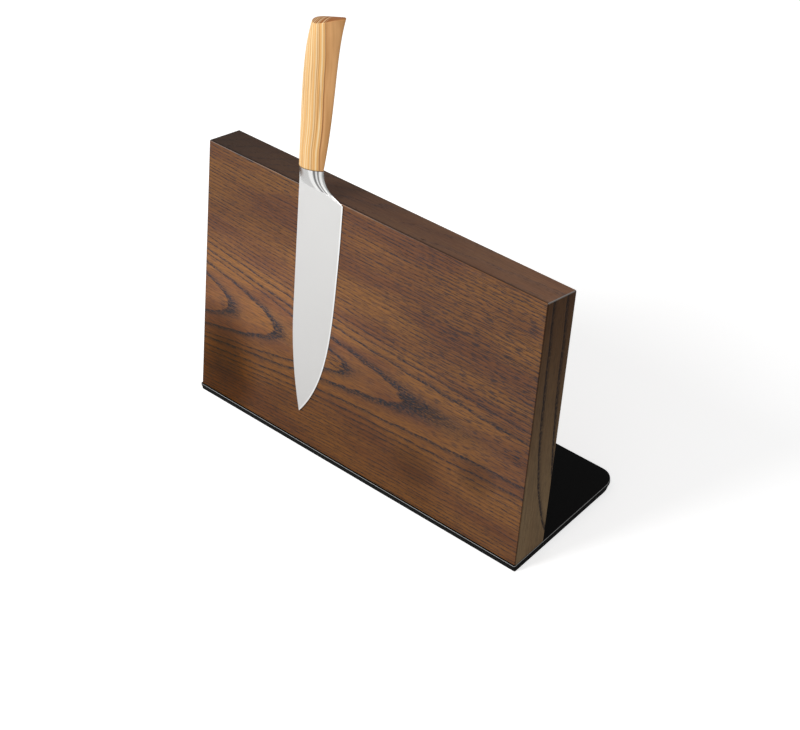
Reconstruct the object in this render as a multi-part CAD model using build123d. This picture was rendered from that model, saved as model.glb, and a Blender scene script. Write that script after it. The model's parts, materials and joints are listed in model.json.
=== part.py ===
from build123d import *

import os
from math import atan, copysign, cos, degrees, exp, pi, radians, sin, sqrt, tan

# A leaning magnetic knife board on a steel foot plate, with one chef's knife held on its face.
# Millimetres. The origin is the centre of the pad's underside, +X runs to the right along the
# board's width, +Y to the back and +Z up. The face that holds the knife looks to -Y and leans back.

# Board: outer sizes, measured on the front face and square to it
board_width = 350.0
board_length = 225.0
board_thickness = 32.5
lean_angle = 14.0
skin_thickness = 4.0
edge_bevel = 0.8

# Foot: coated plate and anti-slip pad
plate_side_margin = 0.5
plate_depth = 125.0
plate_thickness = 3.0
plate_rear_radius = 14.0
plate_front_radius = 1.5
plate_edge_round = 0.6
pad_thickness = 2.8
pad_inset = 0.4
pad_rear_radius = 17.0
board_setback = 1.5

# Magnets on keeper strips, in channels cut into the front of the core
row_names = ("lower", "middle", "upper")
lowest_row_height = 52.0
top_row_margin = 45.0
magnet_length = 40.0
magnet_width = 20.0
magnet_thickness = 6.0
magnet_spacing = 10.0
magnet_chamfer = 0.5
keeper_thickness = 2.0
channel_end_wall = 12.0
channel_clearance = 0.4
glue_gap = 0.2

# Countersunk wood screws that hold the keeper strips
keeper_screw_head = 7.0
keeper_screw_shank = 3.5
keeper_screw_cover = 4.0
keeper_screw_recess_width = 1.0
keeper_screw_recess_span = 4.0
keeper_screw_recess_depth = 1.4

# Countersunk machine screws and threaded inserts that hold the plate
base_screw_count = 4
base_screw_spacing = 85.0
base_screw_head = 11.0
base_screw_shank = 6.0
base_screw_length = 20.0
base_screw_point = 0.8
base_screw_socket = 4.0
base_screw_socket_depth = 2.4
insert_diameter = 9.0
insert_length = 12.0
insert_collar = 11.0
insert_collar_height = 1.0
drill_run_out = 2.0
screw_clearance = 0.1

# Knife: where it hangs on the face
knife_spine_x = -70.3
knife_heel_height = 223.2
knife_turn = 0.27
knife_face_gap = 0.2

# Blade: one forging with bolster and tang. The belly's points are shares of its height and length.
blade_length = 195.6
blade_height = 45.0
spine_thickness = 2.5
edge_thickness = 0.36
tip_spine_thickness = 1.5
tip_drop = 11.2
straight_spine_length = 108.0
honed_bevel_width = 1.2
honed_bevel_depth = 0.08
fore_belly_shares = (0.745, 0.765)
mid_belly_shares = (0.953, 0.363)
edge_run_at_tip = (0.62, 0.78)
edge_run_at_heel = (0.01, 1.0)
bolster_length = 21.0
bolster_rise = 0.3
bolster_sink = 0.5
bolster_ramp = 1.44
bolster_fullness = 0.25
choil_sweep = 6.5
choil_bend = 1.25
bolster_steps = 5
blade_root = 5.0
spine_run = 20.0
tang_width = 11.0
tang_thickness = 2.4
tang_length = 92.0
tang_clearance = 0.15

# Handle: its section at the bolster, and what each curve adds by the butt
handle_length = 125.9
handle_front_height = 23.0
handle_front_thickness = 15.0
belly_swell = 20.7
belly_waist = 15.6
belly_beak = 8.7
beak_power = 5
flank_swell = 12.9
flank_easing = 5.6
butt_drop = 10.3
butt_cut_angle = 14.0
butt_cut_allowance = 1.0
butt_crown_radius = 31.0
butt_bevel = 0.4
butt_waste_share = 0.75
handle_steps = 6
egg_lean = 0.74
egg_fullness = 0.75
egg_points = 14

# Worked out from the sizes above
lean = radians(lean_angle)
plate_width = board_width + 2 * plate_side_margin
plate_top = pad_thickness + plate_thickness
board_front_y = -plate_depth / 2 + board_setback
board_plane = Plane(
    origin=(0, board_front_y, plate_top),
    x_dir=(1, 0, 0),
    z_dir=(0, -cos(lean), sin(lean)),
)
channel_depth = keeper_thickness + magnet_thickness + glue_gap
core_width = board_width - 2 * skin_thickness
core_thickness = board_thickness - 2 * skin_thickness
magnet_pitch = magnet_length + magnet_spacing
magnets_per_row = int((core_width - 2 * channel_end_wall + magnet_spacing) // magnet_pitch)
keeper_length = magnets_per_row * magnet_pitch - magnet_spacing
row_pitch = (board_length - lowest_row_height - top_row_margin) / (len(row_names) - 1)
butt_belly = handle_front_height + belly_swell - belly_waist + belly_beak
butt_thickness = handle_front_thickness + flank_swell - flank_easing
keeper_screw_length = core_thickness - channel_depth + keeper_thickness - keeper_screw_cover


def closed_loft(*outlines):
    """A solid with flat sides between outlines that each lie in a plane."""
    wires = [Wire.make_polygon(outline, close=True) for outline in outlines]
    return Solid.make_loft(wires, ruled=True)


def face_layer(depth, inset):
    """The board's outline at a depth under its front face, with the foot cut level with the plate."""
    half = board_width / 2 - inset
    low = depth * tan(lean)
    high = board_length - inset
    return [(-half, low, -depth), (half, low, -depth), (half, high, -depth), (-half, high, -depth)]


def top_layer(inset):
    """The outline of the top edging at a depth under the board's top face."""
    half = board_width / 2 - inset
    high = board_length - inset
    near = -inset
    far = inset - board_thickness
    return [(-half, high, near), (half, high, near), (half, high, far), (-half, high, far)]


def end_layer(side, inset):
    """The outline of an end edging at a depth under that end of the board."""
    x = side * (board_width / 2 - inset)
    high = board_length - inset
    far = board_thickness - inset
    return [(x, inset * tan(lean), -inset), (x, far * tan(lean), -far), (x, high, -far), (x, high, -inset)]


def board_envelope():
    """The whole board with its bevelled edges, apart from the edges at the foot."""
    block = closed_loft(face_layer(0, 0), face_layer(board_thickness, 0))
    foot = block.faces().sort_by(Axis.Y)[0]
    foot_edges = foot.edges()
    bevelled = [edge for edge in block.edges() if not any(edge.is_same(other) for other in foot_edges)]
    return chamfer(bevelled, edge_bevel)


def board_skins():
    """Panels and edgings, mitred along the board's outer edges."""
    envelope = board_envelope()
    blanks = {
        "front_panel": closed_loft(face_layer(0, 0), face_layer(skin_thickness, skin_thickness)),
        "rear_panel": closed_loft(
            face_layer(board_thickness, 0), face_layer(board_thickness - skin_thickness, skin_thickness)
        ),
        "top_edging": closed_loft(top_layer(0), top_layer(skin_thickness)),
        "left_edging": closed_loft(end_layer(-1, 0), end_layer(-1, skin_thickness)),
        "right_edging": closed_loft(end_layer(1, 0), end_layer(1, skin_thickness)),
    }
    return {name: board_plane * (blank & envelope) for name, blank in blanks.items()}


def row_heights():
    """Height up the slope of each row of magnets, by name."""
    return {name: lowest_row_height + index * row_pitch for index, name in enumerate(row_names)}


def slot_block(height, length, width, bottom, top):
    """A box along a row of magnets, between two depths under the front face."""
    middle = (bottom + top) / 2
    return Pos(0, height, -middle) * Box(length, width, bottom - top)


def magnet_centres():
    """Places of a row's magnets along the width."""
    first = -(magnets_per_row - 1) * magnet_pitch / 2
    return [first + index * magnet_pitch for index in range(magnets_per_row)]


def keeper_screw_places():
    """Every second space between a row's magnets holds a screw."""
    centres = magnet_centres()
    return [centre + magnet_pitch / 2 for centre in centres[:-1:2]]


def screw_blank(head, shank, length, point):
    """A countersunk screw along +Z, with its head's face at Z = 0."""
    head_radius = head / 2
    shank_radius = shank / 2
    profile = Polyline(
        (0, 0),
        (head_radius, 0),
        (shank_radius, head_radius - shank_radius),
        (shank_radius, length - point),
        (shank_radius - point, length),
        (0, length),
        close=True,
    )
    return revolve(Plane.XZ * make_face(profile), Axis.Z)


def screw_seat(head, shank, length):
    """The countersunk hole that a screw sits in, with its clearance."""
    head_radius = head / 2 + screw_clearance
    shank_radius = shank / 2 + screw_clearance
    profile = Polyline(
        (0, 0),
        (head_radius, 0),
        (shank_radius, head_radius - shank_radius),
        (shank_radius, length + screw_clearance),
        (0, length + screw_clearance),
        close=True,
    )
    return revolve(Plane.XZ * make_face(profile), Axis.Z)


def keeper_screw():
    """A wood screw with a cross recess."""
    blank = screw_blank(keeper_screw_head, keeper_screw_shank, keeper_screw_length, keeper_screw_shank / 4)
    bar = Box(keeper_screw_recess_span, keeper_screw_recess_width, 2 * keeper_screw_recess_depth)
    return blank - bar - Rot(0, 0, 90) * bar


def base_screw():
    """A machine screw with a hexagon socket."""
    blank = screw_blank(base_screw_head, base_screw_shank, base_screw_length, base_screw_point)
    socket = RegularPolygon(base_screw_socket / 2, 6, major_radius=False)
    return blank - extrude(socket, base_screw_socket_depth)


def into_keeper(x, height):
    """The place of a keeper screw's head, with the screw driven away from the front face."""
    face = skin_thickness + glue_gap + magnet_thickness
    return Pos(x, height, -face) * Rot(180, 0, 0)


def base_screw_places():
    """Where the base screws' axes cross the plate's underside."""
    first = -(base_screw_count - 1) * base_screw_spacing / 2
    depth_reached = base_screw_length - plate_thickness
    foot_middle = board_front_y + board_thickness / cos(lean) / 2
    y = foot_middle + depth_reached * tan(lean) / 2
    return [Pos(first + index * base_screw_spacing, y, pad_thickness) for index in range(base_screw_count)]


def stepped_pin(*steps):
    """Cylinders stacked along +Z from Z = 0, each given as a diameter and a height."""
    pin = Part()
    start = 0
    for diameter, height in steps:
        step = Cylinder(diameter / 2, height, align=(Align.CENTER, Align.CENTER, Align.MIN))
        pin += Pos(0, 0, start) * step
        start += height
    return pin


def threaded_insert():
    """A brass sleeve with a collar that sits flush with the foot of the core."""
    sleeve = stepped_pin(
        (insert_collar, insert_collar_height),
        (insert_diameter, insert_length - insert_collar_height),
    )
    return sleeve - stepped_pin((base_screw_shank + 2 * screw_clearance, insert_length))


def core_bore():
    """The hole for an insert, and the run-out for the screw's tip beyond it."""
    play = 2 * screw_clearance
    reach = base_screw_length - plate_thickness
    run_out = max(reach - insert_length, 0) + drill_run_out
    return stepped_pin(
        (insert_collar + play, insert_collar_height),
        (insert_diameter + play, insert_length - insert_collar_height),
        (base_screw_shank + play, run_out),
    )


def core_board():
    """The core with its channels, pilot holes and bores for the inserts."""
    core = closed_loft(
        face_layer(skin_thickness, skin_thickness),
        face_layer(board_thickness - skin_thickness, skin_thickness),
    )
    channel_length = keeper_length + 2 * channel_clearance
    channel_width = magnet_width + 2 * channel_clearance
    seat = screw_seat(keeper_screw_head, keeper_screw_shank, keeper_screw_length)
    for height in row_heights().values():
        bottom = skin_thickness + channel_depth
        core -= slot_block(height, channel_length, channel_width, bottom, skin_thickness)
        for x in keeper_screw_places():
            core -= into_keeper(x, height) * seat
    core = board_plane * core
    for place in base_screw_places():
        core -= place * Pos(0, 0, plate_thickness) * core_bore()
    return core


def keeper_strip(height):
    """A steel strip at the bottom of a channel, countersunk for its screws."""
    bottom = skin_thickness + channel_depth
    strip = slot_block(height, keeper_length, magnet_width, bottom, bottom - keeper_thickness)
    seat = screw_seat(keeper_screw_head, keeper_screw_shank, keeper_screw_length)
    for x in keeper_screw_places():
        strip -= into_keeper(x, height) * seat
    return board_plane * strip


def magnet_row(height):
    """Bar magnets side by side on a keeper strip."""
    bar = Box(magnet_length, magnet_width, magnet_thickness)
    bar = chamfer(bar.edges(), magnet_chamfer)
    depth = skin_thickness + glue_gap + magnet_thickness / 2
    return Compound(children=[board_plane * Pos(x, height, -depth) * bar for x in magnet_centres()])


def keeper_screw_row(height):
    """The screws of one keeper strip."""
    screw = keeper_screw()
    return Compound(children=[board_plane * into_keeper(x, height) * screw for x in keeper_screw_places()])


def rounded_sheet(width, depth, thickness, front_radius, rear_radius):
    """A flat sheet on Z = 0 with one radius at its front corners and one at its rear corners."""
    sheet = Box(width, depth, thickness, align=(Align.CENTER, Align.CENTER, Align.MIN))
    front = sheet.edges().filter_by(Axis.Z).group_by(Axis.Y)[0]
    sheet = fillet(front, front_radius)
    rear = sheet.edges().filter_by(Axis.Z).group_by(Axis.Y)[-1]
    return fillet(rear, rear_radius)


def base_plate():
    """The coated plate, with softened edges and holes countersunk from below."""
    sheet = rounded_sheet(plate_width, plate_depth, plate_thickness, plate_front_radius, plate_rear_radius)
    rims = sheet.faces().filter_by(Axis.Z).edges()
    plate = Pos(0, 0, pad_thickness) * fillet(rims, plate_edge_round)
    seat = screw_seat(base_screw_head, base_screw_shank, plate_thickness)
    for place in base_screw_places():
        plate -= place * seat
    return plate


def base_pad():
    """The anti-slip sheet under the plate."""
    return rounded_sheet(
        plate_width - 2 * pad_inset,
        plate_depth - 2 * pad_inset,
        pad_thickness,
        plate_front_radius - pad_inset,
        pad_rear_radius,
    )


# The knife is drawn flat: X from back to cutting edge, Y from tip to butt with the heel at Y = 0,
# and Z square to the blade's middle plane.
# The flanks are flat: they thin to the tip along the back, and to the edge's thickness at mid belly.
tip = (tip_drop, -blade_length)
fore_belly = (fore_belly_shares[0] * blade_height, -fore_belly_shares[1] * blade_length)
mid_belly = (mid_belly_shares[0] * blade_height, -mid_belly_shares[1] * blade_length)
thinning_to_tip = (spine_thickness - tip_spine_thickness) / 2 / blade_length
mid_belly_back = spine_thickness / 2 + thinning_to_tip * mid_belly[1]
thinning_to_edge = (mid_belly_back - edge_thickness / 2) / mid_belly[0]
knife_place = (
    board_plane.location
    * Pos(knife_spine_x, knife_heel_height, knife_face_gap + spine_thickness / 2)
    * Rot(0, 0, knife_turn)
    * Rot(degrees(atan(thinning_to_tip)), degrees(atan(thinning_to_edge)), 0)
)


def egg_outline(station, back, belly, thickness, fullness=egg_fullness):
    """A closed egg-shaped section of the grip, blunt at the back and narrow at the belly."""
    points = []
    for step in range(egg_points):
        turn = 2 * pi * step / egg_points
        share = (1 - cos(turn)) / 2
        half_width = sin(pi * share**egg_lean) ** fullness * thickness / 2
        points.append((back + share * (belly - back), station, copysign(half_width, sin(turn))))
    places = [step / egg_points for step in range(egg_points + 1)]
    return Wire([Edge.make_spline(points, periodic=True, parameters=places)])


def blade_outline():
    """The blade's face: a straight back that drops to the tip, a curved edge, the choil and a hidden root."""
    heel = (blade_height, 0)
    shoulder = (0, -straight_spine_length)
    root_back = (0, spine_run)
    root_top = (spine_thickness, spine_run)
    root_front = (handle_front_height, blade_root)
    return make_face(
        [
            Line(root_back, shoulder),
            TangentArc(shoulder, tip, tangent=(0, -1)),
            Spline(tip, fore_belly, mid_belly, heel, tangents=(edge_run_at_tip, edge_run_at_heel)),
            Polyline(heel, root_front, root_top, root_back),
        ]
    )


def ground_blade():
    """The blade with flat flanks that thin to the edge and to the tip, and its honed bevels."""
    blade = Pos(0, 0, -spine_thickness) * extrude(blade_outline(), 2 * spine_thickness)
    for side, keep in ((1, Keep.BOTTOM), (-1, Keep.TOP)):
        flank = Plane(
            origin=(0, 0, side * spine_thickness / 2),
            z_dir=(side * thinning_to_edge, -side * thinning_to_tip, 1),
        )
        blade = split(blade, bisect_by=flank, keep=keep)
    for order in (0, -1):
        cutting_edge = blade.edges().filter_by(GeomType.BSPLINE).sort_by(Axis.Z)[order]
        flank_face = blade.faces().sort_by(Axis.Z)[order]
        blade = chamfer(cutting_edge, honed_bevel_width, honed_bevel_depth, reference=flank_face)
    return blade


def bolster():
    """The swell between blade and handle, which runs out along the choil to the heel."""
    sections = []
    choil_width = blade_height - bolster_sink - handle_front_height
    for step in range(bolster_steps + 1):
        share = step / bolster_steps
        station = share * bolster_length
        back = bolster_sink - (bolster_sink + bolster_rise) * share
        belly = handle_front_height + choil_width * exp(-((station / choil_sweep) ** choil_bend))
        thickness = edge_thickness + (handle_front_thickness - edge_thickness) * share**bolster_ramp
        fullness = bolster_fullness + (egg_fullness - bolster_fullness) * share
        sections.append(egg_outline(station, back, belly, thickness, fullness))
    return Solid.make_loft(sections)


def tang_block(start, play):
    """The tang from a place along the knife to its end, or the slot that it is glued into."""
    end = bolster_length + tang_length + play
    block = Box(tang_width + 2 * play, end - start, tang_thickness + 2 * play)
    return Pos(handle_front_height / 2, (start + end) / 2, 0) * block


def knife_blade():
    """Blade, bolster and tang in one piece, with the tang rooted in the middle of the bolster."""
    return ground_blade() + bolster() + tang_block(bolster_length / 2, 0)


def handle_section(place):
    """The grip's section at a distance from the bolster: it swells, then bends down to a beak at the butt."""
    share = place / handle_length
    bend = share**beak_power
    back = butt_drop * bend - bolster_rise
    belly = handle_front_height + belly_swell * share - belly_waist * share**2 + belly_beak * bend
    thickness = handle_front_thickness + flank_swell * share - flank_easing * share**2
    return egg_outline(bolster_length + place, back, belly, thickness)


def butt_waste():
    """What is cut off beyond the butt, which runs oblique to the grip and is crowned across it."""
    cut_angle = radians(butt_cut_angle)
    cut_plane = Plane(
        origin=(butt_belly, bolster_length + handle_length, 0),
        x_dir=(0, 0, 1),
        z_dir=(-cos(cut_angle), -sin(cut_angle), 0),
    )
    reach = butt_waste_share * butt_thickness
    rim = sqrt(butt_crown_radius**2 - reach**2) - butt_crown_radius
    profile = make_face(
        [
            ThreePointArc((-reach, rim), (0, 0), (reach, rim)),
            Polyline((reach, rim), (reach, handle_length), (-reach, handle_length), (-reach, rim)),
        ]
    )
    return extrude(cut_plane * profile, 2 * butt_belly, both=True)


def knife_handle():
    """The wooden grip, with an oblique crowned butt and a slot for the tang."""
    section_spacing = (handle_length + butt_cut_allowance) / handle_steps
    sections = [handle_section(step * section_spacing) for step in range(handle_steps + 1)]
    grip = Solid.make_loft(sections) - butt_waste()
    end_face = grip.faces().sort_by(Axis.Y)[-1]
    grip = chamfer(end_face.edges(), butt_bevel)
    return grip - tang_block(0, tang_clearance)


if __name__ == "__main__":
    os.makedirs("parts", exist_ok=True)
    nodes = dict(board_skins())
    nodes["core_board"] = core_board()
    for row, row_height in row_heights().items():
        nodes[f"keeper_strip_{row}"] = keeper_strip(row_height)
        nodes[f"magnets_{row}"] = magnet_row(row_height)
        nodes[f"keeper_screws_{row}"] = keeper_screw_row(row_height)
    nodes["base_plate"] = base_plate()
    nodes["base_pad"] = base_pad()
    nodes["base_screws"] = Compound(children=[place * base_screw() for place in base_screw_places()])
    nodes["threaded_inserts"] = Compound(
        children=[place * Pos(0, 0, plate_thickness) * threaded_insert() for place in base_screw_places()]
    )
    nodes["knife_blade"] = knife_place * knife_blade()
    nodes["knife_handle"] = knife_place * knife_handle()
    for name, shape in nodes.items():
        export_step(shape, f"parts/{name}.step")
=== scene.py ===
"""Finishes and stage for a leaning magnetic knife board with a chef's knife on its face."""

import json
import math

import bpy
from bpy.props import FloatProperty, FloatVectorProperty, PointerProperty
from bpy.types import Operator, Panel, PropertyGroup
from mathutils import Matrix, Vector


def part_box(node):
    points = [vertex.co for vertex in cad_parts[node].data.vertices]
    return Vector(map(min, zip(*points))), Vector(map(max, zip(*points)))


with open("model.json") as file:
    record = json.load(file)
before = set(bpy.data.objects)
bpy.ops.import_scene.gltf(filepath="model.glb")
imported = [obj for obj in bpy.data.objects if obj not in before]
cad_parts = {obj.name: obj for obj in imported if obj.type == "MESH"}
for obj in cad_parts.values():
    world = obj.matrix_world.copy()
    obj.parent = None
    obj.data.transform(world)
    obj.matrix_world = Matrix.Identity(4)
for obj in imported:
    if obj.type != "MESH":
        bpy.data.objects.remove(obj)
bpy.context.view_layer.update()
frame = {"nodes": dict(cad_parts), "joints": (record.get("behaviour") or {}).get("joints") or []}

bl_info = {
    "name": "Magnetic Knife Board",
    "version": (1, 0, 0),
    "blender": (4, 5, 0),
    "location": "3D View > Sidebar > Knife Board",
    "description": "Finishes and stage for a leaning magnetic knife board with a chef's knife",
    "category": "Object",
}

# The board's own directions: the knife is pulled off square to the face.
FACE_NORMAL = Vector(frame["joints"][0]["axis"]).normalized()
UP_SLOPE = Vector((0.0, FACE_NORMAL.z, -FACE_NORMAL.y))
RIGHT = Vector((1.0, 0.0, 0.0))
UPRIGHT = Vector((0.0, 0.0, 1.0))

# The front face's foot, its half-width and its height up the slope.
PANEL_LOW, PANEL_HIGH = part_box("front_panel")
BOARD_FOOT = Vector((0.0, PANEL_LOW.y, PANEL_LOW.z))
HALF_WIDTH = PANEL_HIGH.x
SLOPE_HEIGHT = (PANEL_HIGH.z - PANEL_LOW.z) / UP_SLOPE.z

# Rows of magnets, each with its keeper strip and screws.
ROWS = ("lower", "middle", "upper")

# Sizes of the marks in the stained wood: along the grain, across it and into the wood.
DRIFT = (0.16, 0.05, 0.05)
RIPPLE = (0.022, 0.008, 0.008)
DASHES = (0.0090, 0.0012, 0.0012)
DOTS = (0.0026, 0.0012, 0.0012)
FLECKS = (0.0100, 0.00095, 0.00095)
PORES = (0.0055, 0.00050, 0.00050)
FIBRES = (0.045, 0.0013, 0.0013)
PATCHES = (0.14, 0.028, 0.028)
WANDER = (0.05, 0.02, 0.02)

# Along the grain, how far a year's ring takes up the stain evenly. Years are set so far apart
# in the noise that each takes it up in its own way.
UPTAKE_LENGTH = 0.07
YEARS_APART = 5.3

# Years over which the unbroken inner arches give way to rings broken into dashes.
BREAKING_YEARS = (5.0, 9.0)

# Radii of the first years' rings round the log's middle. Later years grow evenly, and fall in
# and out of step over the length below.
RING_RADII = (0.0236, 0.0328, 0.0405, 0.0438, 0.0500, 0.0546, 0.0582, 0.0615)
STEP_LENGTH = 0.010

# Clouds in the front's stain and clusters of pores at the tips of its arches: across, up, half-width,
# half-height, thickness of stain, change in tone, pores. The first row, over the foot, is partly stain and
# partly painted shade for the dimmer reflection near the floor.
CLOUDS = (
    (0.000, -0.030, 0.500, 0.140, 0.62, 0.00, 0.00),
    (-0.150, 0.034, 0.048, 0.060, 0.55, -0.05, 0.00),
    (-0.147, 0.036, 0.026, 0.034, 0.00, -0.38, 0.00),
    (0.128, 0.056, 0.024, 0.020, 0.00, -0.26, 0.00),
    (-0.150, 0.190, 0.110, 0.100, 0.00, -0.13, 0.00),
    (0.066, 0.036, 0.030, 0.022, 0.00, -0.22, 0.00),
    (-0.105, 0.118, 0.130, 0.060, 0.00, 0.32, 0.00),
    (0.175, 0.150, 0.190, 0.120, 0.00, -0.13, 0.38),
    (0.150, 0.030, 0.080, 0.070, -0.20, 0.00, 0.00),
    (-0.143, 0.084, 0.014, 0.009, 0.00, -0.15, 0.50),
    (-0.089, 0.087, 0.015, 0.007, 0.00, -0.15, 0.55),
    (-0.022, 0.087, 0.015, 0.010, 0.00, -0.15, 0.55),
    (0.070, 0.088, 0.036, 0.008, 0.00, -0.15, 0.60),
    (0.168, 0.090, 0.020, 0.006, 0.00, -0.10, 0.45),
)

# Sizes of the marks in the plywood and in hard surfaces, on the board's axes.
PLY_FIBRES = (0.02, 0.001, 0.001)
HARD_GRAIN = (0.0012, 0.0008, 0.0008)

# Sizes of the marks in the coat and the rubber, which are the same all ways.
PEEL = (0.0011, 0.0011, 0.0011)
SPECKS = (0.00035, 0.00035, 0.00035)
GRIT = (0.0006, 0.0006, 0.0006)

# Sizes of the marks in the blade's steel: across the blade, along it and into it.
SATIN_LINES = (0.030, 0.00022, 0.03)
SATIN_CLOUDS = (0.02, 0.05, 0.05)

# Painted reflections in the bolster's polish, dark stripes standing for the studio mirrored in it: distance
# in from its belly, half-width, depth of tone.
BOLSTER_REFLECTIONS = (
    (0.0056, 0.0017, 0.85),
    (0.0031, 0.0012, 0.80),
    (0.0000, 0.0015, 0.70),
)

# A broad, fainter painted reflection further in: where it rises, where it falls, depth of tone.
BROAD_REFLECTION = ((0.0090, 0.0108), (0.0205, 0.0220), 0.30)

# How squarely the honed bevels and the blade's flats face the front.
FLATNESS = (0.993, 0.998)

# Sizes of the marks in the handle's wood: across its stripes, along them and into the wood.
STRIPES = (0.0010, 0.40, 0.20)
FINE_LINES = (0.0007, 0.15, 0.060)
HAIRLINES = (0.0026, 0.30, 0.15)
BELLY_CLOUDS = (0.005, 0.05, 0.02)
SWAY_LENGTH = 0.045

# Where the flank's wood turns into the belly's, across the growth line.
BELLY_TURN = (-0.0003, 0.0005)

# The picture's size in pixels, which the camera's values go by.
PICTURE_WIDTH, PICTURE_HEIGHT = 800, 730


class Field:
    """A value that varies over a surface. Sums and products of fields write Math nodes."""

    def __init__(self, nodes, socket):
        self.nodes = nodes
        self.socket = socket

    def math(self, operation, *values):
        """One Math node on the given values."""
        return self.nodes.node("ShaderNodeMath", {"operation": operation}, dict(enumerate(values)))

    def __add__(self, other):
        return self.math("ADD", self, other)

    def __radd__(self, other):
        return self.math("ADD", other, self)

    def __sub__(self, other):
        return self.math("SUBTRACT", self, other)

    def __rsub__(self, other):
        return self.math("SUBTRACT", other, self)

    def __mul__(self, other):
        return self.math("MULTIPLY", self, other)

    def __rmul__(self, other):
        return self.math("MULTIPLY", other, self)

    def __truediv__(self, other):
        return self.math("DIVIDE", self, other)

    def __rtruediv__(self, other):
        return self.math("DIVIDE", other, self)

    def __pow__(self, other):
        return self.math("POWER", self, other)

    def __rpow__(self, other):
        return self.math("POWER", other, self)

    def __abs__(self):
        return self.math("ABSOLUTE", self)

    def fraction(self):
        """What is left after the whole number."""
        return self.math("FRACT", self)

    def whole(self):
        """The whole number below."""
        return self.math("FLOOR", self)

    def larger(self, other):
        """The larger of two values."""
        return self.math("MAXIMUM", self, other)

    def dot(self, direction):
        """How far a place or a direction runs along a direction."""
        settings = {"operation": "DOT_PRODUCT"}
        return self.nodes.node("ShaderNodeVectorMath", settings, {0: self, 1: direction}, "Value")

    def scaled(self, tone):
        """A colour made darker or lighter."""
        return self.nodes.node("ShaderNodeVectorMath", {"operation": "SCALE"}, {0: self, "Scale": tone})

    def tinted(self, tint):
        """A colour seen through a stain."""
        return self.nodes.node("ShaderNodeVectorMath", {"operation": "MULTIPLY"}, {0: self, 1: tint})

    def ramp(self, low, high):
        """A straight ramp from 0 at low to 1 at high."""
        return self.nodes.node("ShaderNodeMapRange", None, {0: self, 1: low, 2: high})

    def rise(self, low, high):
        """A smooth step from 0 at low to 1 at high."""
        settings = {"interpolation_type": "SMOOTHSTEP"}
        return self.nodes.node("ShaderNodeMapRange", settings, {0: self, 1: low, 2: high})

    def near(self, place, reach):
        """1 at a place, falling smoothly to 0 at a distance from it."""
        return 1.0 - abs(self - place).rise(0.0, reach)

    def between(self, low, high):
        """Turns a share from 0 to 1 into a value from low to high."""
        return low + (high - low) * self


class Nodes:
    """A node tree written as expressions on fields."""

    def __init__(self, tree):
        self.tree = tree

    def fill(self, sockets, values):
        """Sets or links sockets, which are named or numbered."""
        for key, value in values.items():
            if isinstance(value, Field):
                self.tree.links.new(value.socket, sockets[key])
            else:
                sockets[key].default_value = value

    def node(self, kind, settings=None, sockets=None, output=0):
        """A new node with its settings, then its sockets; returns one of its outputs."""
        node = self.tree.nodes.new(kind)
        for key, value in (settings or {}).items():
            setattr(node, key, value)
        self.fill(node.inputs, sockets or {})
        return Field(self, node.outputs[output])

    def noise(self, x, y, z, detail=2.0, roughness=0.5):
        """Noise whose features are about one unit wide, from 0 to 1."""
        place = self.node("ShaderNodeCombineXYZ", None, {0: x, 1: y, 2: z})
        sockets = {"Vector": place, "Scale": 1.0, "Detail": detail, "Roughness": roughness}
        return self.node("ShaderNodeTexNoise", None, sockets)

    def marks(self, place, sizes, detail=2.0, roughness=0.5):
        """Noise whose features have a size of their own along each axis of a place."""
        x, y, z = (distance / size for distance, size in zip(place, sizes))
        return self.noise(x, y, z, detail, roughness)

    def seen(self):
        """1 for what shows, straight or in a gloss, and 0 for light that falls on things."""
        rays = ("Is Camera Ray", "Is Glossy Ray", "Is Transmission Ray")
        straight, glossy, clear = (self.node("ShaderNodeLightPath", output=ray) for ray in rays)
        return straight.larger(glossy).larger(clear)


class Finish(Nodes):
    """A node material."""

    def __init__(self, name):
        self.material = bpy.data.materials.new(name)
        self.material.use_nodes = True
        super().__init__(self.material.node_tree)
        self.shader = self.tree.nodes["Principled BSDF"]
        self.place = self.node("ShaderNodeTexCoord", output="Object")

    def blend(self, share, first, second):
        """A colour between two colours."""
        settings = {"data_type": "RGBA"}
        return self.node("ShaderNodeMix", settings, {0: share, 6: first, 7: second}, 2)

    def relief(self, height, depth):
        """A normal from a height field of which 1 is so many metres."""
        sockets = {"Strength": 1.0, "Distance": depth, "Height": height}
        return self.node("ShaderNodeBump", None, sockets, "Normal")

    def facing(self, direction):
        """How squarely the surface faces a direction, from -1 to 1."""
        return self.node("ShaderNodeNewGeometry", output="Normal").dot(direction)

    def bevel(self, direction):
        """1 on the 45-degree bevels beside the faces that look along a direction, either way."""
        return abs(self.facing(direction)).near(math.sqrt(0.5), 0.3)

    def surface(self, **values):
        """Sets or links the shader's sockets, named in lower case with underscores."""
        names = {socket.name.lower().replace(" ", "_"): socket.name for socket in self.shader.inputs}
        self.fill(self.shader.inputs, {names[key]: value for key, value in values.items()})
        return self.material

    def board_place(self):
        """Distances to the right, up the slope and into the board from the front face's foot."""
        settings = {"operation": "SUBTRACT"}
        offset = self.node("ShaderNodeVectorMath", settings, {0: self.place, 1: BOARD_FOOT})
        return offset.dot(RIGHT), offset.dot(UP_SLOPE), offset.dot(-FACE_NORMAL)

    def frame_place(self):
        """Distances to the right, to the back and up."""
        return tuple(self.place.dot(axis) for axis in Matrix.Identity(3))


def opaque(colour):
    """A colour with full alpha."""
    return (*colour, 1.0)


def dress(nodes, material):
    """Gives CAD nodes a material in every slot."""
    for name in nodes:
        for slot in frame["nodes"][name].material_slots:
            slot.material = material


def colour_property(name, description, default):
    """A colour, in linear light."""
    return FloatVectorProperty(
        name=name, description=description, default=default, subtype="COLOR", min=0.0, max=1.0
    )


def length_property(name, description, default):
    """A length in metres."""
    return FloatProperty(name=name, description=description, default=default, unit="LENGTH", precision=5)


def number_property(name, description, default):
    """A plain number."""
    return FloatProperty(name=name, description=description, default=default, precision=4)


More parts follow.
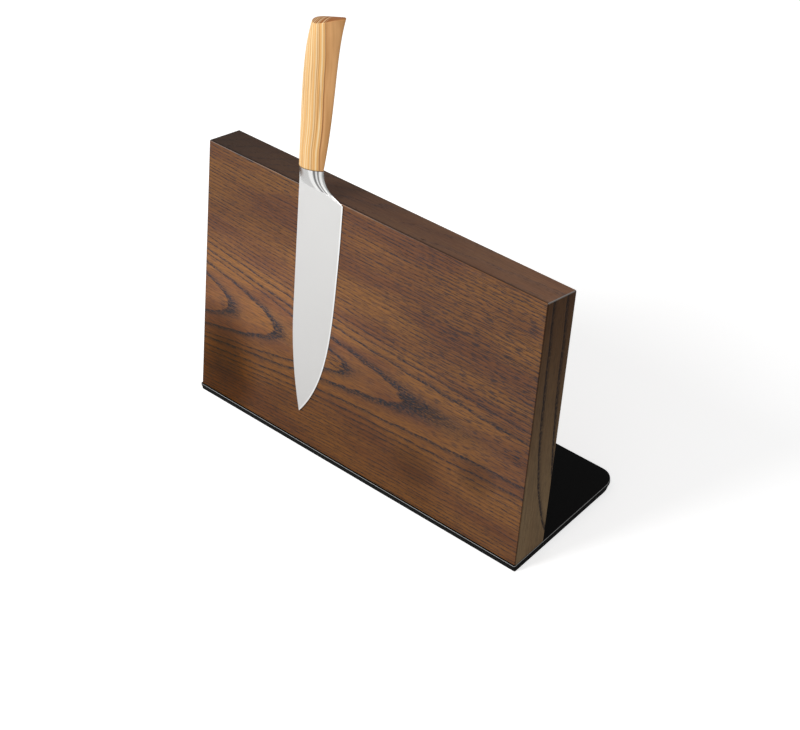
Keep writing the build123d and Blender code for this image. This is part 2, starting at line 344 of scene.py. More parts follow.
def angle_property(name, description, degrees):
    """An angle whose default is given in degrees."""
    return FloatProperty(name=name, description=description, default=math.radians(degrees), subtype="ANGLE")


def place_property(name, description, default):
    """A place in the frame."""
    return FloatVectorProperty(name=name, description=description, default=default, subtype="TRANSLATION")


def power_property(name, description, default):
    """A lamp's power in watts."""
    return FloatProperty(name=name, description=description, default=default, unit="POWER")


class StainedWood:
    """Sizes and colours of a dark-stained wood with open pores along each year's ring."""

    pale: colour_property("Pale wood", "Late wood, which takes little stain", (0.258, 0.115, 0.042))
    warm: colour_property("Warm wood", "Late wood in the redder patches", (0.178, 0.075, 0.038))
    dark: colour_property("Ring", "Early wood, which takes the most stain", (0.036, 0.035, 0.043))
    pore: colour_property("Pore", "Open pores, filled with stain", (0.020, 0.013, 0.011))
    thick: colour_property("Thick stain", "What thick stain dims the wood's colour to", (0.50, 0.36, 0.11))
    # Painted highlight: the next two values lay a light grey over chosen bevels.
    highlight_colour: colour_property("Highlighted edge", "Bevels rubbed bright", (0.34, 0.325, 0.31))
    wear: number_property("Highlight", "How far the bevels are rubbed bright, from 0 to 1", 0.38)
    contrast: number_property("Contrast", "How dark the rings are, from 0 to 1", 1.0)
    broken: number_property("Broken rings", "How far each ring is broken into dashes, from 0 to 1", 0.55)
    early_share: number_property("Early wood", "Share of a year in which the pores stand open", 0.70)
    ring_spacing: length_property("Ring spacing", "From one of the later years' rings to the next", 0.0028)
    roughness: number_property("Roughness", "Of the wood between its pores", 0.50)
    sheen: number_property("Sheen", "Strength of the stain's gloss", 0.07)
    pore_depth: length_property("Pore depth", "How deep the open pores are", 0.00010)


class LogFigure:
    """Where a panel was sawn out of the log, and how its rings wander."""

    pith_height: length_property("Pith height", "Where the log's middle lies across the grain", 0.088)
    pith_depth: length_property("Pith depth", "How deep the log's middle lies at the first arch", 0.0236)
    first_arch: length_property("First arch", "Where the innermost ring's arch has its tip", -0.147)
    sink: length_property("Sink", "How far the log's middle sinks away from the first arch", 0.02454)
    sink_length: length_property("Sink length", "Over which most of the sink takes place", 0.111)
    drift: length_property("Drift", "How far the rings wander over a span", 0.006)
    ripple: length_property("Ripple", "How far the rings wander close up", 0.0016)
    uneven: number_property("Uneven years", "By how many years the later rings fall out of step", 2.0)


class FrontWood(LogFigure, StainedWood, PropertyGroup):
    """Flat-sawn front panel with a row of arches."""

    # Where the painted highlight on the long bevels fades out towards the right.
    highlight_start: length_property("Wear start", "How far right the wear begins to fade", -0.02)
    highlight_end: length_property("Wear end", "How far right the wear has faded out", 0.08)


class RearWood(LogFigure, StainedWood, PropertyGroup):
    """Rear panel, sawn nearer to the log's outside."""

    pith_height: length_property("Pith height", "Where the log's middle lies across the grain", 0.128)
    first_arch: length_property("First arch", "Where the innermost ring's arch has its tip", -0.060)
    outside: length_property("Outside", "How far behind the front the rings are measured from", 0.04)


class TopWood(LogFigure, StainedWood, PropertyGroup):
    """Top edging, darker and nearly plain."""

    pale: colour_property("Pale wood", "Late wood, which takes little stain", (0.132, 0.066, 0.036))
    warm: colour_property("Warm wood", "Late wood in the redder patches", (0.112, 0.053, 0.030))
    # Strength of the painted highlight on the bevels.
    wear: number_property("Highlight", "How far the bevels are rubbed bright, from 0 to 1", 0.9)
    contrast: number_property("Contrast", "How dark the rings are, from 0 to 1", 0.35)
    early_share: number_property("Early wood", "Share of a year in which the pores stand open", 0.46)
    pith_height: length_property("Pith height", "Where the log's middle lies across the grain", 0.060)
    edge_start: length_property("Edge start", "How far back the dark front edge begins to fade", 0.0006)
    edge_end: length_property("Edge end", "How far back the dark front edge has faded out", 0.0026)


class EndWood(StainedWood, PropertyGroup):
    """End edgings, dark, with a few wide rings that sweep up from the foot."""

    pale: colour_property("Pale wood", "Late wood, which takes little stain", (0.195, 0.128, 0.066))
    warm: colour_property("Warm wood", "Late wood in the redder patches", (0.170, 0.106, 0.054))
    dark: colour_property("Ring", "Early wood, which takes the most stain", (0.026, 0.017, 0.014))
    thick: colour_property("Thick stain", "What thick stain dims the wood's colour to", (0.60, 0.41, 0.29))
    # Strength of the painted highlight on the bevels.
    wear: number_property("Highlight", "How far the bevels are rubbed bright, from 0 to 1", 0.4)
    broken: number_property("Broken rings", "How far each ring is broken into dashes, from 0 to 1", 0.25)
    early_share: number_property("Early wood", "Share of a year in which the pores stand open", 0.50)
    ring_spacing: length_property("Ring spacing", "From one ring to the next", 0.016)
    first_ring: length_property("First ring", "How far behind the front the first ring runs", 0.005)
    sweep: length_property("Sweep", "How much further back the rings start at the foot", 0.038)
    sweep_length: length_property("Sweep length", "Over which most of the sweep takes place", 0.050)
    wander: length_property("Wander", "How far the rings wander", 0.004)
    thick_start: length_property("Thick stain's start", "How far up the stain begins to thicken", 0.04)


class InsideLook(PropertyGroup):
    """Core board, and the metal and magnets in it."""

    ply: colour_property("Ply", "Pale layers of the core board", (0.55, 0.40, 0.24))
    cross_ply: colour_property("Cross ply", "Darker layers of the core board", (0.38, 0.25, 0.14))
    ply_pair: length_property("Pair of plies", "Thickness of a pale and a dark layer", 0.0028)
    ferrite: colour_property("Ferrite", "Sintered magnets", (0.045, 0.045, 0.050))
    rolled_steel: colour_property("Rolled steel", "Keeper strips", (0.42, 0.43, 0.44))
    zinc: colour_property("Zinc", "Plated screws", (0.62, 0.63, 0.66))
    brass: colour_property("Brass", "Threaded inserts", (0.66, 0.46, 0.17))


class FootLook(PropertyGroup):
    """Coated plate and pad."""

    coat: colour_property("Coat", "Black powder coat", (0.0042, 0.0042, 0.0042))
    speck: colour_property("Speck", "Paler specks in the coat", (0.012, 0.012, 0.012))
    # Painted highlight: light grey laid along the plate's rounded rim.
    rim: colour_property("Rim", "Rounded rim, rubbed bright", (0.40, 0.40, 0.40))
    coat_sheen: number_property("Coat sheen", "Strength of the coat's gloss", 0.02)
    peel_depth: length_property("Peel depth", "Depth of the coat's orange peel", 0.00004)
    rubber: colour_property("Rubber", "Anti-slip pad", (0.005, 0.005, 0.005))
    grit: colour_property("Grit", "Paler grit in the rubber", (0.010, 0.010, 0.010))
    rubber_sheen: number_property("Rubber sheen", "Strength of the rubber's gloss", 0.06)
    grit_depth: length_property("Grit depth", "Depth of the rubber's texture", 0.00008)


class BladeLook(PropertyGroup):
    """Steel of the blade and its bolster."""

    steel: colour_property("Steel", "Satin blade", (0.665, 0.66, 0.65))
    # Painted highlight: the honed edge and the bolster take a steel brighter than the blade's flats.
    honed: colour_property("Honed steel", "Bright steel of the edge and the back", (0.93, 0.93, 0.92))
    satin_roughness: number_property("Satin roughness", "Of the blade's flats", 0.32)
    bright_roughness: number_property("Bright roughness", "Of the honed edge and the bolster", 0.26)
    line_depth: length_property("Line depth", "Depth of the satin's lines", 0.000005)
    heel_height: length_property("Heel height", "Where the blade's heel hangs on the face", 0.2232)
    polish_start: length_property("Polish start", "From the heel to where the satin ends", 0.0040)
    polish_blend: length_property("Polish blend", "Over which the satin turns into polish", 0.0016)
    bolster_length: length_property("Bolster length", "From the heel to the handle", 0.021)
    bolster_edge: length_property("Bolster edge", "Where the bolster's belly meets the handle", -0.0473)
    choil_width: length_property("Choil width", "How far the choil runs out from there to the heel", 0.0215)
    choil_sweep: length_property("Choil sweep", "Over which the choil runs out", 0.0065)
    choil_power: number_property("Choil power", "How sharply the choil turns", 1.25)


class HandleLook(PropertyGroup):
    """Wood of the handle."""

    cream: colour_property("Cream stripe", "Palest stripes of the flank", (0.95, 0.71, 0.40))
    honey: colour_property("Honey stripe", "Darker stripes of the flank", (0.87, 0.49, 0.18))
    brown: colour_property("Brown line", "Growth lines", (0.36, 0.125, 0.032))
    belly: colour_property("Belly wood", "Plain wood on the belly", (0.79, 0.43, 0.185))
    shaded_belly: colour_property("Shaded belly", "Darker clouds on the belly", (0.64, 0.33, 0.130))
    end_grain: colour_property("End grain", "Redder wood on the butt's oblique cut", (0.39, 0.119, 0.018))
    roughness: number_property("Roughness", "Of the oiled wood", 0.42)
    sheen: number_property("Sheen", "Strength of the oil's gloss", 0.05)
    line_depth: length_property("Line depth", "Depth of the fine lines", 0.00003)
    plane_lean: number_property("Plane lean", "How far the stripes' planes lean out of the handle", 0.3157)
    line_place: length_property("Line place", "Where the growth line runs along the handle", -0.0487)
    line_half: length_property("Half line", "Half the width of a growth line", 0.0010)
    line_middle: length_property("Line middle", "How far up the face the growth line is darkest", 0.285)
    line_reach: length_property("Line reach", "How far from there it fades", 0.07)
    second_line: length_property("Second line", "From the growth line to a fainter one", -0.0063)
    flank_width: length_property("Flank width", "From the growth line to the handle's back", 0.016)
    sway: length_property("Sway", "How far the lines sway", 0.003)
    bend: length_property("Bend", "How far the lines bend aside at the bolster", 0.002)
    bend_start: length_property("Bend start", "How far up the face the lines begin to straighten", 0.255)
    bend_end: length_property("Bend end", "How far up the face the lines are straight", 0.290)
    foot: length_property("Foot", "How far up the face the handle starts", 0.2443)
    # Painted shadow: a dark strip on the handle in the shaded gap beside the bolster.
    seam: length_property("Seam", "Width of the dark seam beside the bolster", 0.0011)


class StageLook(PropertyGroup):
    """Camera, floor and light."""

    azimuth: angle_property("Azimuth", "Turn of the camera round the board", 46.868)
    elevation: angle_property("Elevation", "Height of the camera's view", 40.075)
    roll: angle_property("Roll", "Roll of the camera", -6.585)
    place: place_property("Place", "The camera's place", (0.9013, -0.8200, 1.1036))
    focal_pixels: number_property("Focal length", "In pixels of the picture", 2002.9)
    centre_x: number_property("Centre across", "Pixel that the lens points at", 414.45)
    centre_y: number_property("Centre down", "Pixel that the lens points at", 357.3)
    floor: colour_property("Floor", "Pale floor", (0.86, 0.86, 0.86))
    floor_reach: length_property("Floor reach", "From the floor's middle to each side", 6.0)
    floor_glow: number_property("Floor glow", "Added to the floor where it shows straight", 0.56)
    gloss_glow: number_property("Gloss glow", "Added to the floor where it shows in a gloss", 0.16)
    sky: number_property("Surrounding light", "White surroundings, as light on the board", 0.36)
    key_place: place_property("Key place", "Lamp at the left front", (-1.10, -1.60, 1.45))
    key_size: length_property("Key size", "Width of the lamp at the left front", 1.3)
    key_power: power_property("Key power", "Power of the lamp at the left front", 37.0)
    fill_place: place_property("Fill place", "Lamp at the right", (1.6, -0.6, 1.2))
    fill_size: length_property("Fill size", "Width of the lamp at the right", 1.4)
    fill_power: power_property("Fill power", "Power of the lamp at the right", 6.0)
    aim: place_property("Aim", "Place that the lamps point at", (0.0, 0.0, 0.12))


class KnifeBoardLook(PropertyGroup):
    """Everything that a user would change."""

    front: PointerProperty(type=FrontWood)
    rear: PointerProperty(type=RearWood)
    top: PointerProperty(type=TopWood)
    ends: PointerProperty(type=EndWood)
    inside: PointerProperty(type=InsideLook)
    foot: PointerProperty(type=FootLook)
    blade: PointerProperty(type=BladeLook)
    handle: PointerProperty(type=HandleLook)
    stage: PointerProperty(type=StageLook)


def look():
    """The values that the finishes and the stage are made from."""
    return bpy.context.scene.knife_board


def log_rings(finish, grain, wood):
    """Years counted outwards from the log's middle, which sinks away from the first arch."""
    along, across, depth = grain
    drift = finish.marks(grain, DRIFT) - 0.5
    ripple = finish.marks(grain, RIPPLE) - 0.5
    sunk = 1.0 - math.e ** ((wood.first_arch - along) / wood.sink_length)
    sideways = across - wood.pith_height + drift * wood.drift
    inwards = depth + wood.pith_depth + wood.sink * sunk
    radius = (sideways * sideways + inwards * inwards) ** 0.5 + ripple * wood.ripple
    later = (radius - RING_RADII[-1]).larger(0.0)
    step = finish.noise(later / STEP_LENGTH, 0.0, 0.0) - 0.5
    years = later / wood.ring_spacing + step * wood.uneven
    for inner, outer in zip(RING_RADII, RING_RADII[1:]):
        years = years + radius.ramp(inner, outer)
    return years


def early_wood(year, share):
    """How open the pores are over a year: all at its start, then fewer, and none after a share of it."""
    soft = 1.0 - year.rise(0.05, share)
    sharp = 1.0 - year.rise(0.05, share * 0.6)
    return year.rise(0.0, 0.05) * (soft * 0.45 + sharp * 0.55)


def stained_wood(finish, grain, wood, years, tone, thickness=0.0, dense=0.0, wear=0.0):
    """Surface of a wood whose open pores along each year's ring took up the stain."""
    along = grain[0]
    early = early_wood(years.fraction(), wood.early_share)
    unbroken = 1.0 - years.rise(*BREAKING_YEARS)
    uptake = finish.noise(years.whole() * YEARS_APART, along / UPTAKE_LENGTH, 0.0, detail=1.0)
    uptake = uptake.rise(0.30, 0.62).between(0.46, 1.0).larger(unbroken)
    dashes = finish.marks(grain, DASHES, detail=1.0).rise(0.40, 0.54).larger(unbroken * 0.35)
    dots = finish.marks(grain, DOTS, detail=0.0).rise(0.36, 0.56)
    flecks = finish.marks(grain, FLECKS).rise(0.49, 0.61)
    pores = finish.marks(grain, PORES, detail=1.0).rise(0.54, 0.68)
    fibres = finish.marks(grain, FIBRES, detail=3.0, roughness=0.6)
    patches = finish.marks(grain, PATCHES).rise(0.36, 0.64)
    ring = early * uptake * dashes.between(1.0 - wood.broken, 1.0) * dots.between(0.66, 1.25)
    ring = ring.larger(flecks * (0.74 * wood.broken + dense)) * wood.contrast
    open_pores = pores * early.between(0.25, 0.9)
    colour = finish.blend(patches, opaque(wood.pale), opaque(wood.warm))
    colour = finish.blend(ring, colour, opaque(wood.dark))
    colour = finish.blend(thickness, colour, colour.tinted(wood.thick))
    colour = colour.scaled(tone * fibres.between(0.60, 1.40))
    colour = finish.blend(open_pores * 0.75, colour, opaque(wood.pore))
    # Painted highlight: light grey blended over the bevels that the mask picks.
    colour = finish.blend(wear * wood.wear, colour, opaque(wood.highlight_colour))
    return finish.surface(
        base_color=colour,
        roughness=wood.roughness + 0.2 * open_pores + 0.1 * fibres,
        specular_ior_level=wood.sheen,
        normal=finish.relief(fibres * 0.25 - open_pores - ring * 0.4, wood.pore_depth),
    )


class KNIFEBOARD_OT_front_panel(Operator):
    """Front panel: flat-sawn stained wood, with arches that point to the right"""

    bl_idname = "knife_board.front_panel"
    bl_label = "Front panel"

    def execute(self, context):
        finish = Finish("front_wood")
        wood = look().front
        grain = finish.board_place()
        along, up_slope = grain[:2]
        # Painted highlight: the bevels along the long edges are lighter; the bevels at the left and right
        # edges are darker.
        long_bevels = finish.bevel(UP_SLOPE)
        tone = long_bevels.between(0.96, 1.2) * finish.bevel(RIGHT).between(1.0, 0.45)
        thickness = dense = 0.0
        for x, height, half_width, half_height, thicker, lighter, pores in CLOUDS:
            across = (along - x) / half_width
            up = (up_slope - height) / half_height
            share = (across * across + up * up).near(0.0, 1.0)
            tone = tone * (1.0 + lighter * share)
            thickness = thickness + thicker * share
            dense = dense + pores * share
        years = log_rings(finish, grain, wood)
        # Painted highlight on the long bevels, fading out towards the right.
        wear = long_bevels * (1.0 - along.ramp(wood.highlight_start, wood.highlight_end))
        dress(["front_panel"], stained_wood(finish, grain, wood, years, tone, thickness, dense, wear))
        return {"FINISHED"}


class KNIFEBOARD_OT_rear_panel(Operator):
    """Rear panel: the same wood with its own figure"""

    bl_idname = "knife_board.rear_panel"
    bl_label = "Rear panel"

    def execute(self, context):
        finish = Finish("rear_wood")
        wood = look().rear
        along, across, depth = finish.board_place()
        grain = along, across, wood.outside - depth
        # Painted highlight: the bevels along the long edges are lighter; the bevels at the left and right
        # edges are darker.
        tone = finish.bevel(UP_SLOPE).between(1.0, 1.2) * finish.bevel(RIGHT).between(1.0, 0.6)
        years = log_rings(finish, grain, wood)
        dress(["rear_panel"], stained_wood(finish, grain, wood, years, tone))
        return {"FINISHED"}


class KNIFEBOARD_OT_top_edging(Operator):
    """Top edging: darker and nearly plain, with grain along the width, darker at the left partly from stain
    and partly as painted shade
    """

    bl_idname = "knife_board.top_edging"
    bl_label = "Top edging"

    def execute(self, context):
        finish = Finish("top_wood")
        wood = look().top
        along, up_slope, depth = finish.board_place()
        grain = along, depth, up_slope
        front_edge = 1.0 - depth.rise(wood.edge_start, wood.edge_end)
        # Darker towards the left, partly stain and partly painted shade, and darker along the front edge.
        tone = along.ramp(-HALF_WIDTH, HALF_WIDTH).between(0.34, 1.78) * front_edge.between(1.0, 0.28)
        years = log_rings(finish, grain, wood)
        # Painted highlight on the bevel beside the right end.
        wear = finish.bevel(RIGHT)
        dress(["top_edging"], stained_wood(finish, grain, wood, years, tone, wear=wear))
        return {"FINISHED"}


class KNIFEBOARD_OT_end_edgings(Operator):
    """End edgings: dark, with grain up the slope and rings that sweep up from the foot"""

    bl_idname = "knife_board.end_edgings"
    bl_label = "End edgings"

    def execute(self, context):
        finish = Finish("end_wood")
        wood = look().ends
        sideways, along, depth = finish.board_place()
        grain = along, depth, sideways
        sweep = wood.sweep * math.e ** (along / -wood.sweep_length)
        wander = finish.marks((along, sideways, depth), WANDER) - 0.5
        behind = depth - wood.first_ring - sweep + wander * wood.wander
        years = (behind / wood.ring_spacing).larger(-0.5)
        tone = along.ramp(0.0, SLOPE_HEIGHT).between(0.94, 0.58)
        tone = tone * finish.bevel(FACE_NORMAL).between(1.0, 0.6)
        thickness = along.ramp(wood.thick_start, SLOPE_HEIGHT)
        # Painted highlight on the bevels at the top and the foot.
        wear = finish.bevel(UP_SLOPE)
        material = stained_wood(finish, grain, wood, years, tone, thickness, wear=wear)
        dress(["left_edging", "right_edging"], material)
        return {"FINISHED"}


class KNIFEBOARD_OT_core(Operator):
    """Core board: raw plywood, seen only with the panels off"""

    bl_idname = "knife_board.core"
    bl_label = "Core board"

    def execute(self, context):
        finish = Finish("core_ply")
        inside = look().inside
        place = finish.board_place()
        layer = (place[2] / inside.ply_pair).fraction().rise(0.45, 0.55)
        fibres = finish.marks(place, PLY_FIBRES, detail=3.0)
        colour = finish.blend(layer * 0.6 + fibres * 0.4, opaque(inside.ply), opaque(inside.cross_ply))
        dress(["core_board"], finish.surface(base_color=colour, roughness=0.7 + 0.2 * fibres))
        return {"FINISHED"}


def grained(name, colour, roughness, metallic):
    """A hard surface with fine grain in its tone and gloss."""
    finish = Finish(name)
    grain = finish.marks(finish.board_place(), HARD_GRAIN, detail=3.0)
    shaded = tuple(0.7 * part for part in colour)
    tone = finish.blend(grain.rise(0.3, 0.7), opaque(colour), opaque(shaded))
    return finish.surface(base_color=tone, roughness=roughness + 0.15 * grain, metallic=metallic)


class KNIFEBOARD_OT_magnets(Operator):
    """Magnets: dark grey sintered ferrite, inside the board"""

    bl_idname = "knife_board.magnets"
    bl_label = "Magnets"

    def execute(self, context):
        material = grained("magnet_ferrite", look().inside.ferrite, roughness=0.55, metallic=0.0)
        dress([f"magnets_{row}" for row in ROWS], material)
        return {"FINISHED"}


class KNIFEBOARD_OT_keeper_strips(Operator):
    """Keeper strips: cold-rolled steel behind the magnets"""

    bl_idname = "knife_board.keeper_strips"
    bl_label = "Keeper strips"

    def execute(self, context):
        material = grained("keeper_steel", look().inside.rolled_steel, roughness=0.38, metallic=1.0)
        dress([f"keeper_strip_{row}" for row in ROWS], material)
        return {"FINISHED"}


class KNIFEBOARD_OT_fasteners(Operator):
    """Bright zinc screws of the keeper strips and the plate, and brass inserts"""

    bl_idname = "knife_board.fasteners"
    bl_label = "Screws and inserts"

    def execute(self, context):
        inside = look().inside
        screws = [f"keeper_screws_{row}" for row in ROWS] + ["base_screws"]
        dress(screws, grained("screw_steel", inside.zinc, roughness=0.28, metallic=1.0))
        brass = grained("insert_brass", inside.brass, roughness=0.30, metallic=1.0)
        dress(["threaded_inserts"], brass)
        return {"FINISHED"}


class KNIFEBOARD_OT_base_plate(Operator):
    """Base plate: black powder coat with a fine orange peel, and a painted highlight along its rounded rim
    """

    bl_idname = "knife_board.base_plate"
    bl_label = "Base plate"

    def execute(self, context):
        finish = Finish("coated_steel")
        foot = look().foot
        place = finish.frame_place()
        peel = finish.marks(place, PEEL)
        specks = finish.marks(place, SPECKS, detail=1.0)
        # Painted highlight along the rounded rim, where the edge catches the light.
        rim = finish.facing(UPRIGHT).near(0.6, 0.35)
        colour = finish.blend(specks.rise(0.55, 0.75) * 0.5, opaque(foot.coat), opaque(foot.speck))
        colour = finish.blend(rim, colour, opaque(foot.rim))
        material = finish.surface(
            base_color=colour,
            roughness=0.40 + 0.12 * peel,
            specular_ior_level=foot.coat_sheen,
            coat_weight=rim * 0.6,
            coat_roughness=0.25,
            normal=finish.relief(peel + 0.3 * specks, foot.peel_depth),
        )
        dress(["base_plate"], material)
        return {"FINISHED"}


class KNIFEBOARD_OT_base_pad(Operator):
    """Base pad: matt black rubber"""

    bl_idname = "knife_board.base_pad"
    bl_label = "Base pad"

    def execute(self, context):
        finish = Finish("pad_rubber")
        foot = look().foot
        grit = finish.marks(finish.frame_place(), GRIT, detail=3.0)
        material = finish.surface(
            base_color=finish.blend(grit.rise(0.3, 0.7), opaque(foot.rubber), opaque(foot.grit)),
            roughness=0.75 + 0.15 * grit,
            specular_ior_level=foot.rubber_sheen,
            normal=finish.relief(grit, foot.grit_depth),
        )
        dress(["base_pad"], material)
        return {"FINISHED"}


class KNIFEBOARD_OT_blade(Operator):
    """Blade: satin steel with fine lines across, a honed edge and a polished bolster, with a painted
    highlight on both and painted dark reflections on the bolster
    """

    bl_idname = "knife_board.blade"
    bl_label = "Blade"

    def execute(self, context):
        finish = Finish("blade_steel")
        blade = look().blade
        place = finish.board_place()
        across, along = place[:2]
        heel = along - blade.heel_height
        polish = heel.rise(blade.polish_start, blade.polish_start + blade.polish_blend)
        flat = finish.facing(FACE_NORMAL).rise(*FLATNESS)
        honed = (1.0 - flat) * (1.0 - polish)
        bright = honed.larger(polish)
        lines = finish.marks(place, SATIN_LINES, roughness=0.6)
        cloud = finish.marks(place, SATIN_CLOUDS, detail=1.0)
        # Painted highlight: the honed edge and the bolster take the brighter steel; painted reflections
        # then darken the bolster in stripes.
        colour = finish.blend(bright, opaque(blade.steel), opaque(blade.honed))
        colour = colour.scaled((0.95 + 0.05 * lines) * (1.0 - polish * self.painted_reflections(blade, across, heel)))
        satin = blade.satin_roughness + 0.10 * lines + 0.05 * cloud
        material = finish.surface(
            base_color=colour,
            roughness=satin + bright * (blade.bright_roughness - satin),
            metallic=1.0,
            normal=finish.relief(lines * (1.0 - polish), blade.line_depth),
        )
        dress(["knife_blade"], material)
        return {"FINISHED"}

    def painted_reflections(self, blade, across, heel):
        """Painted dark reflections that follow the bolster's belly and the choil, and fan out towards the
        heel.
        """
        turn = (heel.larger(0.0) / blade.choil_sweep) ** blade.choil_power
        choil = blade.choil_width * math.e ** (turn * -1.0)
        spread = heel.ramp(0.0, blade.bolster_length).between(0.5, 1.0)
        inside = (choil + blade.bolster_edge - across) * spread
        rising, falling, depth = BROAD_REFLECTION
        painted_reflections = inside.rise(*rising) * (1.0 - inside.rise(*falling)) * depth
        for distance, half_width, depth in BOLSTER_REFLECTIONS:
            painted_reflections = painted_reflections + inside.near(distance, half_width) * depth
        return painted_reflections


class KNIFEBOARD_OT_handle(Operator):
    """Handle: striped wood on its flanks, plain on the belly, with one dark growth line between"""

    bl_idname = "knife_board.handle"
    bl_label = "Handle"

    def execute(self, context):
        finish = Finish("handle_wood")
        handle = look().handle
        across, along, depth = finish.board_place()
        sway = (finish.noise(along / SWAY_LENGTH, 0.3, 0.7) - 0.5) * handle.sway
        bend = handle.bend * (1.0 - along.rise(handle.bend_start, handle.bend_end))
        lane = across + depth * handle.plane_lean - handle.line_place + (sway + bend)
        place = lane, along, depth
        fine = finish.marks(place, FINE_LINES, roughness=0.6)
        flank = self.flank(finish, handle, place, fine)
        belly = self.belly(finish, handle, place)
        colour = finish.blend(lane.rise(*BELLY_TURN), flank, belly)
        line_tone = along.near(handle.line_middle, handle.line_reach).between(0.65, 0.95)
        growth_line = lane.near(0.0, handle.line_half) * line_tone
        colour = finish.blend(growth_line, colour, opaque(handle.brown))
        # Painted shadow: the handle is darkened in a thin strip beside the bolster, where the gap between
        # them lies in shade.
        seam = 1.0 - along.rise(handle.foot, handle.foot + handle.seam)
        colour = colour.scaled((0.90 + fine * 0.20) * seam.between(1.0, 0.18))
        material = finish.surface(
            base_color=colour,
            roughness=handle.roughness + 0.12 * fine,
            specular_ior_level=handle.sheen,
            normal=finish.relief(fine, handle.line_depth),
        )
        dress(["knife_handle"], material)
        return {"FINISHED"}

    def butt(self, finish):
        """1 on the oblique cut at the handle's end."""
        return finish.facing(UP_SLOPE).rise(0.5, 0.8)

    def flank(self, finish, handle, place, fine):
        """Cream and honey stripes with brown lines, redder in stripes where the butt cuts them."""
        lane = place[0]
        brown = opaque(handle.brown)
        stripes = finish.marks(place, STRIPES, detail=1.0)
        hairlines = finish.marks(place, HAIRLINES, detail=1.0).near(0.5, 0.035)
        lines = (fine.rise(0.50, 0.60) * 0.08).larger(hairlines * 0.55)
        colour = finish.blend(stripes.rise(0.44, 0.56), opaque(handle.cream), opaque(handle.honey))
        colour = finish.blend(lines, colour, brown)
        colour = finish.blend(lane.near(handle.second_line, handle.line_half) * 0.45, colour, brown)
        # Painted light: the flank is made lighter towards the growth line, where it turns from the lamp and
        # gets less light, and darker towards its back.
        colour = colour.scaled(lane.ramp(-handle.flank_width, 0.0).between(0.95, 1.05))
        cut = self.butt(finish) * stripes.rise(0.44, 0.54).between(0.15, 0.98)
        return finish.blend(cut, colour, opaque(handle.end_grain))

    def belly(self, finish, handle, place):
        """Plain wood with soft clouds, redder where the butt cuts it."""
        clouds = finish.marks(place, BELLY_CLOUDS).rise(0.35, 0.65)
        colour = finish.blend(clouds, opaque(handle.belly), opaque(handle.shaded_belly))
        return finish.blend(self.butt(finish) * 0.9, colour, opaque(handle.end_grain))


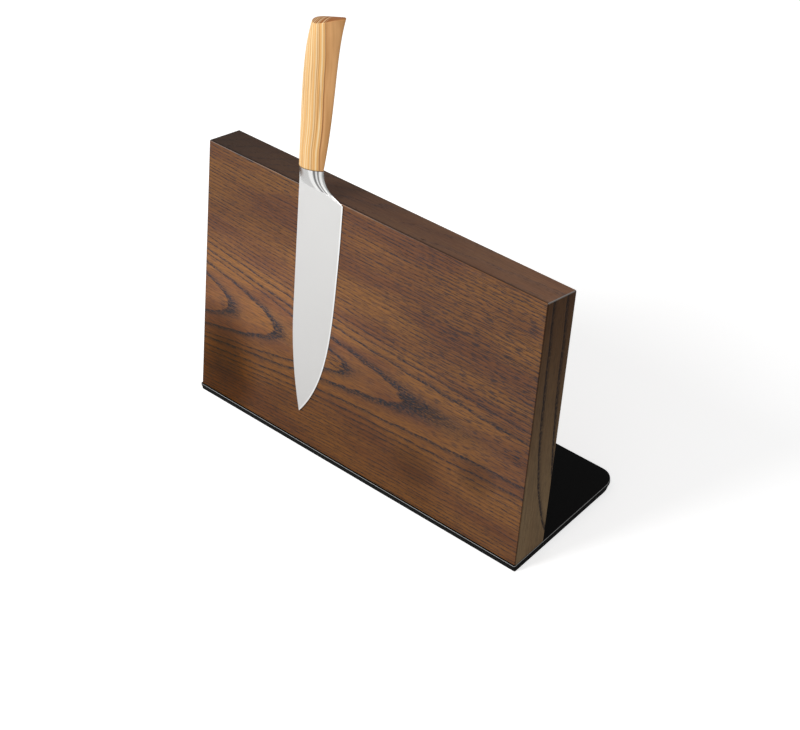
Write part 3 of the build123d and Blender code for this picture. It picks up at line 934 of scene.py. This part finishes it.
class KNIFEBOARD_OT_stage(Operator):
    """Pale floor, soft studio light and the camera at the picture's angle"""

    bl_idname = "knife_board.stage"
    bl_label = "Stage"

    def execute(self, context):
        scene = context.scene
        stage = look().stage
        scene.view_settings.view_transform = "Standard"
        self.make_floor(scene, stage)
        self.make_world(scene, stage)
        self.make_lamp(scene, "key", stage.key_place, stage.aim, stage.key_size, stage.key_power)
        self.make_lamp(scene, "fill", stage.fill_place, stage.aim, stage.fill_size, stage.fill_power)
        self.make_camera(scene, stage)
        return {"FINISHED"}

    def make_floor(self, scene, stage):
        """A wide, flat floor."""
        mesh = bpy.data.meshes.new("floor")
        reach = stage.floor_reach
        corners = [(-reach, -reach, 0), (reach, -reach, 0), (reach, reach, 0), (-reach, reach, 0)]
        mesh.from_pydata(corners, [], [(0, 1, 2, 3)])
        floor = bpy.data.objects.new("floor", mesh)
        scene.collection.objects.link(floor)
        mesh.materials.append(self.floor_paint(stage))

    def floor_paint(self, stage):
        """Matt paint that keeps shadows, lifted towards white where it shows."""
        finish = Finish("floor")
        finish.surface(base_color=opaque(stage.floor), roughness=0.9, specular_ior_level=0.0)
        surface = plain = Field(finish, finish.shader.outputs[0])
        straight = finish.node("ShaderNodeLightPath", output="Is Camera Ray")
        for share, strength in ((finish.seen(), stage.gloss_glow), (straight, stage.floor_glow)):
            glow = finish.node("ShaderNodeEmission", None, {"Strength": strength})
            lit = finish.node("ShaderNodeAddShader", None, {0: plain, 1: glow})
            surface = finish.node("ShaderNodeMixShader", None, {0: share, 1: surface, 2: lit})
        finish.fill(finish.tree.nodes["Material Output"].inputs, {"Surface": surface})
        return finish.material

    def make_world(self, scene, stage):
        """White surroundings that light the board more softly than they look."""
        scene.world = bpy.data.worlds.new("studio")
        scene.world.use_nodes = True
        studio = Nodes(scene.world.node_tree)
        sockets = {"Color": (1.0, 1.0, 1.0, 1.0), "Strength": studio.seen().between(stage.sky, 1.0)}
        studio.fill(studio.tree.nodes["Background"].inputs, sockets)

    def make_lamp(self, scene, name, place, aim, size, power):
        """A round lamp that points at a place."""
        lamp = bpy.data.lights.new(name, "AREA")
        lamp.shape = "DISK"
        lamp.size = size
        lamp.energy = power
        holder = bpy.data.objects.new(name, lamp)
        holder.location = place
        holder.rotation_euler = (aim - place).to_track_quat("-Z", "Y").to_euler()
        scene.collection.objects.link(holder)

    def make_camera(self, scene, stage):
        """The camera, turned about the board, tilted down and rolled."""
        turn = Matrix.Rotation(stage.azimuth, 4, "Z")
        tilt = Matrix.Rotation(math.pi / 2 - stage.elevation, 4, "X")
        roll = Matrix.Rotation(stage.roll, 4, "Z")
        lens = bpy.data.cameras.new("camera")
        lens.lens = stage.focal_pixels / PICTURE_WIDTH * lens.sensor_width
        lens.shift_x = (PICTURE_WIDTH / 2 - stage.centre_x) / PICTURE_WIDTH
        lens.shift_y = (stage.centre_y - PICTURE_HEIGHT / 2) / PICTURE_WIDTH
        camera = bpy.data.objects.new("camera", lens)
        camera.matrix_world = Matrix.Translation(stage.place) @ turn @ tilt @ roll
        scene.collection.objects.link(camera)
        scene.camera = camera


class KNIFEBOARD_PT_sidebar(Panel):
    """Lists the pieces in the 3D view's sidebar"""

    bl_label = "Knife Board"
    bl_space_type = "VIEW_3D"
    bl_region_type = "UI"
    bl_category = "Knife Board"

    def draw(self, context):
        for operator in OPERATORS:
            self.layout.operator(operator.bl_idname)


GROUPS = (
    FrontWood,
    RearWood,
    TopWood,
    EndWood,
    InsideLook,
    FootLook,
    BladeLook,
    HandleLook,
    StageLook,
    KnifeBoardLook,
)
OPERATORS = (
    KNIFEBOARD_OT_front_panel,
    KNIFEBOARD_OT_rear_panel,
    KNIFEBOARD_OT_top_edging,
    KNIFEBOARD_OT_end_edgings,
    KNIFEBOARD_OT_core,
    KNIFEBOARD_OT_magnets,
    KNIFEBOARD_OT_keeper_strips,
    KNIFEBOARD_OT_fasteners,
    KNIFEBOARD_OT_base_plate,
    KNIFEBOARD_OT_base_pad,
    KNIFEBOARD_OT_blade,
    KNIFEBOARD_OT_handle,
    KNIFEBOARD_OT_stage,
)
CLASSES = GROUPS + OPERATORS + (KNIFEBOARD_PT_sidebar,)


def register():
    """Adds the operators, the sidebar and the scene's values."""
    for group in CLASSES:
        bpy.utils.register_class(group)
    bpy.types.Scene.knife_board = PointerProperty(type=KnifeBoardLook)


def unregister():
    """Takes away what register added."""
    del bpy.types.Scene.knife_board
    for group in reversed(CLASSES):
        bpy.utils.unregister_class(group)


def main():
    """Makes every finish and the stage."""
    register()
    for operator in OPERATORS:
        family, name = operator.bl_idname.split(".")
        getattr(getattr(bpy.ops, family), name)()


if __name__ == "__main__":
    main()
